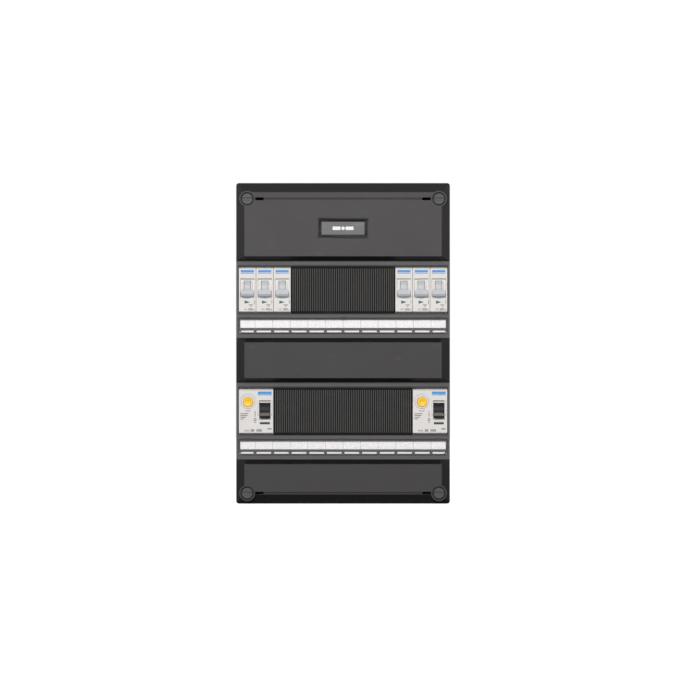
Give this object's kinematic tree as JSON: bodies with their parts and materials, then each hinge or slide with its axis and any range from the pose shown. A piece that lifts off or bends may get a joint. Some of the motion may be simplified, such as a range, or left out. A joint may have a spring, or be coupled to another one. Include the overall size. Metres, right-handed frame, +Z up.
{
  "type": "distribution box",
  "caption": "Wall-mounted distribution box with two rows of rail-mounted breakers behind a removable cover with raised panels, blanking strips and hinged label flaps.",
  "frame": {"origin": "centre of the box's back, which is the centre of its four wall holes", "axes": "+X to the right seen from the front, +Z up, +Y into the wall; the front faces -Y"},
  "size_m": [0.22, 0.09, 0.33],
  "materials": {
    "cover_plastic": "satin dark grey moulding",
    "base_plastic": "satin dark grey moulding",
    "strip_plastic": "satin black-grey moulding",
    "flap_plastic": "satin dark grey moulding",
    "badge_plastic": "satin grey plate",
    "screw_plastic": "satin dark grey moulding",
    "clear_plastic": "clear polycarbonate",
    "card": "white card",
    "device_plastic": "satin off-white moulding",
    "toggle_plastic": "satin light grey moulding",
    "toggle_black": "satin black moulding",
    "button_plastic": "yellow moulding",
    "flag_plastic": "green and red drum",
    "latch_plastic": "black moulding",
    "zinc_steel": "zinc-plated",
    "brass_bar": "turned brass",
    "copper_comb": "bare copper",
    "wire_brown": "insulation",
    "wire_blue": "insulation"
  },
  "bodies": {
    "box": {"base": "base_plastic", "din_rail_upper": "zinc_steel", "din_rail_lower": "zinc_steel", "rail_screws": "zinc_steel", "earth_bar": "brass_bar", "earth_bar_screws": "zinc_steel", "busbar_combs": "copper_comb", "wires_live": "wire_brown", "wires_neutral": "wire_blue", "terminal_screws": "zinc_steel", "mcb_1_case": "device_plastic", "mcb_2_case": "device_plastic", "mcb_3_case": "device_plastic", "mcb_4_case": "device_plastic", "mcb_5_case": "device_plastic", "mcb_6_case": "device_plastic", "rcd_left_case": "device_plastic", "rcd_right_case": "device_plastic", "rcd_left_button_spring": "zinc_steel", "rcd_right_button_spring": "zinc_steel"},
    "cover": {"front_cover": "cover_plastic", "badge": "badge_plastic", "blank_strip_upper": "strip_plastic", "blank_strip_lower": "strip_plastic", "label_card_upper": "card", "label_card_lower": "card"},
    "label_flap_upper": {"label_frame_upper": "flap_plastic", "label_window_upper": "clear_plastic"},
    "label_flap_lower": {"label_frame_lower": "flap_plastic", "label_window_lower": "clear_plastic"},
    "screw_top_left": {"cover_screw_top_left": "screw_plastic"},
    "screw_top_right": {"cover_screw_top_right": "screw_plastic"},
    "screw_bottom_left": {"cover_screw_bottom_left": "screw_plastic"},
    "screw_bottom_right": {"cover_screw_bottom_right": "screw_plastic"},
    "mcb_1_toggle": {"mcb_1_toggle": "toggle_plastic"},
    "mcb_1_flag": {"mcb_1_flag": "flag_plastic"},
    "mcb_1_latch": {"mcb_1_latch": "latch_plastic"},
    "mcb_2_toggle": {"mcb_2_toggle": "toggle_plastic"},
    "mcb_2_flag": {"mcb_2_flag": "flag_plastic"},
    "mcb_2_latch": {"mcb_2_latch": "latch_plastic"},
    "mcb_3_toggle": {"mcb_3_toggle": "toggle_plastic"},
    "mcb_3_flag": {"mcb_3_flag": "flag_plastic"},
    "mcb_3_latch": {"mcb_3_latch": "latch_plastic"},
    "mcb_4_toggle": {"mcb_4_toggle": "toggle_plastic"},
    "mcb_4_flag": {"mcb_4_flag": "flag_plastic"},
    "mcb_4_latch": {"mcb_4_latch": "latch_plastic"},
    "mcb_5_toggle": {"mcb_5_toggle": "toggle_plastic"},
    "mcb_5_flag": {"mcb_5_flag": "flag_plastic"},
    "mcb_5_latch": {"mcb_5_latch": "latch_plastic"},
    "mcb_6_toggle": {"mcb_6_toggle": "toggle_plastic"},
    "mcb_6_flag": {"mcb_6_flag": "flag_plastic"},
    "mcb_6_latch": {"mcb_6_latch": "latch_plastic"},
    "rcd_left_toggle": {"rcd_left_toggle": "toggle_black"},
    "rcd_left_flag": {"rcd_left_flag": "flag_plastic"},
    "rcd_left_latch": {"rcd_left_latch": "latch_plastic"},
    "rcd_left_test_button": {"rcd_left_test_button": "button_plastic"},
    "rcd_right_toggle": {"rcd_right_toggle": "toggle_black"},
    "rcd_right_flag": {"rcd_right_flag": "flag_plastic"},
    "rcd_right_latch": {"rcd_right_latch": "latch_plastic"},
    "rcd_right_test_button": {"rcd_right_test_button": "button_plastic"}
  },
  "joints": [
    {"name": "cover_lift_off", "type": "slide", "parent": "box", "child": "cover", "axis": [0, -1, 0], "range_m": [0, 0.06]},
    {"name": "label_flap_upper_hinge", "type": "hinge", "parent": "cover", "child": "label_flap_upper", "pos_m": [0, -0.0754, 0.0247], "axis": [-1, 0, 0], "range_deg": [0, 100]},
    {"name": "label_flap_lower_hinge", "type": "hinge", "parent": "cover", "child": "label_flap_lower", "pos_m": [0, -0.0754, -0.1003], "axis": [-1, 0, 0], "range_deg": [0, 100]},
    {"name": "screw_top_left_turn", "type": "hinge", "parent": "cover", "child": "screw_top_left", "pos_m": [-0.0984, -0.085, 0.1482], "axis": [0, -1, 0], "range_deg": [0, 90]},
    {"name": "screw_top_right_turn", "type": "hinge", "parent": "cover", "child": "screw_top_right", "pos_m": [0.0984, -0.085, 0.1482], "axis": [0, -1, 0], "range_deg": [0, 90]},
    {"name": "screw_bottom_left_turn", "type": "hinge", "parent": "cover", "child": "screw_bottom_left", "pos_m": [-0.0984, -0.085, -0.1537], "axis": [0, -1, 0], "range_deg": [0, 90]},
    {"name": "screw_bottom_right_turn", "type": "hinge", "parent": "cover", "child": "screw_bottom_right", "pos_m": [0.0984, -0.085, -0.1537], "axis": [0, -1, 0], "range_deg": [0, 90]},
    {"name": "mcb_1_toggle_hinge", "type": "hinge", "parent": "box", "child": "mcb_1_toggle", "pos_m": [-0.09845, -0.067, 0.0575], "axis": [-1, 0, 0], "range_deg": [0, 54]},
    {"name": "mcb_1_flag_turn", "type": "hinge", "parent": "box", "child": "mcb_1_flag", "pos_m": [-0.09845, -0.0739, 0.0424], "axis": [-1, 0, 0], "range_deg": [0, 108]},
    {"name": "mcb_1_latch_slide", "type": "slide", "parent": "box", "child": "mcb_1_latch", "axis": [0, 0, -1], "range_m": [0, 0.004], "stiffness_N_per_m": 400, "springref_m": -0.001},
    {"name": "mcb_2_toggle_hinge", "type": "hinge", "parent": "box", "child": "mcb_2_toggle", "pos_m": [-0.08055, -0.067, 0.0575], "axis": [-1, 0, 0], "range_deg": [0, 54]},
    {"name": "mcb_2_flag_turn", "type": "hinge", "parent": "box", "child": "mcb_2_flag", "pos_m": [-0.08055, -0.0739, 0.0424], "axis": [-1, 0, 0], "range_deg": [0, 108]},
    {"name": "mcb_2_latch_slide", "type": "slide", "parent": "box", "child": "mcb_2_latch", "axis": [0, 0, -1], "range_m": [0, 0.004], "stiffness_N_per_m": 400, "springref_m": -0.001},
    {"name": "mcb_3_toggle_hinge", "type": "hinge", "parent": "box", "child": "mcb_3_toggle", "pos_m": [-0.06265, -0.067, 0.0575], "axis": [-1, 0, 0], "range_deg": [0, 54]},
    {"name": "mcb_3_flag_turn", "type": "hinge", "parent": "box", "child": "mcb_3_flag", "pos_m": [-0.06265, -0.0739, 0.0424], "axis": [-1, 0, 0], "range_deg": [0, 108]},
    {"name": "mcb_3_latch_slide", "type": "slide", "parent": "box", "child": "mcb_3_latch", "axis": [0, 0, -1], "range_m": [0, 0.004], "stiffness_N_per_m": 400, "springref_m": -0.001},
    {"name": "mcb_4_toggle_hinge", "type": "hinge", "parent": "box", "child": "mcb_4_toggle", "pos_m": [0.06265, -0.067, 0.0575], "axis": [-1, 0, 0], "range_deg": [0, 54]},
    {"name": "mcb_4_flag_turn", "type": "hinge", "parent": "box", "child": "mcb_4_flag", "pos_m": [0.06265, -0.0739, 0.0424], "axis": [-1, 0, 0], "range_deg": [0, 108]},
    {"name": "mcb_4_latch_slide", "type": "slide", "parent": "box", "child": "mcb_4_latch", "axis": [0, 0, -1], "range_m": [0, 0.004], "stiffness_N_per_m": 400, "springref_m": -0.001},
    {"name": "mcb_5_toggle_hinge", "type": "hinge", "parent": "box", "child": "mcb_5_toggle", "pos_m": [0.08055, -0.067, 0.0575], "axis": [-1, 0, 0], "range_deg": [0, 54]},
    {"name": "mcb_5_flag_turn", "type": "hinge", "parent": "box", "child": "mcb_5_flag", "pos_m": [0.08055, -0.0739, 0.0424], "axis": [-1, 0, 0], "range_deg": [0, 108]},
    {"name": "mcb_5_latch_slide", "type": "slide", "parent": "box", "child": "mcb_5_latch", "axis": [0, 0, -1], "range_m": [0, 0.004], "stiffness_N_per_m": 400, "springref_m": -0.001},
    {"name": "mcb_6_toggle_hinge", "type": "hinge", "parent": "box", "child": "mcb_6_toggle", "pos_m": [0.09845, -0.067, 0.0575], "axis": [-1, 0, 0], "range_deg": [0, 54]},
    {"name": "mcb_6_flag_turn", "type": "hinge", "parent": "box", "child": "mcb_6_flag", "pos_m": [0.09845, -0.0739, 0.0424], "axis": [-1, 0, 0], "range_deg": [0, 108]},
    {"name": "mcb_6_latch_slide", "type": "slide", "parent": "box", "child": "mcb_6_latch", "axis": [0, 0, -1], "range_m": [0, 0.004], "stiffness_N_per_m": 400, "springref_m": -0.001},
    {"name": "rcd_left_toggle_hinge", "type": "hinge", "parent": "box", "child": "rcd_left_toggle", "pos_m": [-0.0804, -0.067, -0.0686], "axis": [-1, 0, 0], "range_deg": [0, 48]},
    {"name": "rcd_left_flag_turn", "type": "hinge", "parent": "box", "child": "rcd_left_flag", "pos_m": [-0.0804, -0.0739, -0.0822], "axis": [-1, 0, 0], "range_deg": [0, 96]},
    {"name": "rcd_left_latch_slide", "type": "slide", "parent": "box", "child": "rcd_left_latch", "axis": [0, 0, -1], "range_m": [0, 0.004], "stiffness_N_per_m": 400, "springref_m": -0.001},
    {"name": "rcd_left_test_button_press", "type": "slide", "parent": "box", "child": "rcd_left_test_button", "axis": [0, 1, 0], "range_m": [0, 0.002], "stiffness_N_per_m": 400, "springref_m": -0.001, "deforming": ["rcd_left_button_spring"]},
    {"name": "rcd_right_toggle_hinge", "type": "hinge", "parent": "box", "child": "rcd_right_toggle", "pos_m": [0.0986, -0.067, -0.0686], "axis": [-1, 0, 0], "range_deg": [0, 48]},
    {"name": "rcd_right_flag_turn", "type": "hinge", "parent": "box", "child": "rcd_right_flag", "pos_m": [0.0986, -0.0739, -0.0822], "axis": [-1, 0, 0], "range_deg": [0, 96]},
    {"name": "rcd_right_latch_slide", "type": "slide", "parent": "box", "child": "rcd_right_latch", "axis": [0, 0, -1], "range_m": [0, 0.004], "stiffness_N_per_m": 400, "springref_m": -0.001},
    {"name": "rcd_right_test_button_press", "type": "slide", "parent": "box", "child": "rcd_right_test_button", "axis": [0, 1, 0], "range_m": [0, 0.002], "stiffness_N_per_m": 400, "springref_m": -0.001, "deforming": ["rcd_right_button_spring"]}
  ],
  "couplings": [
    {"joint": "mcb_1_flag_turn", "follows": "mcb_1_toggle_hinge", "ratio": 2},
    {"joint": "mcb_2_flag_turn", "follows": "mcb_2_toggle_hinge", "ratio": 2},
    {"joint": "mcb_3_flag_turn", "follows": "mcb_3_toggle_hinge", "ratio": 2},
    {"joint": "mcb_4_flag_turn", "follows": "mcb_4_toggle_hinge", "ratio": 2},
    {"joint": "mcb_5_flag_turn", "follows": "mcb_5_toggle_hinge", "ratio": 2},
    {"joint": "mcb_6_flag_turn", "follows": "mcb_6_toggle_hinge", "ratio": 2},
    {"joint": "rcd_left_flag_turn", "follows": "rcd_left_toggle_hinge", "ratio": 2},
    {"joint": "rcd_right_flag_turn", "follows": "rcd_right_toggle_hinge", "ratio": 2}
  ]
}
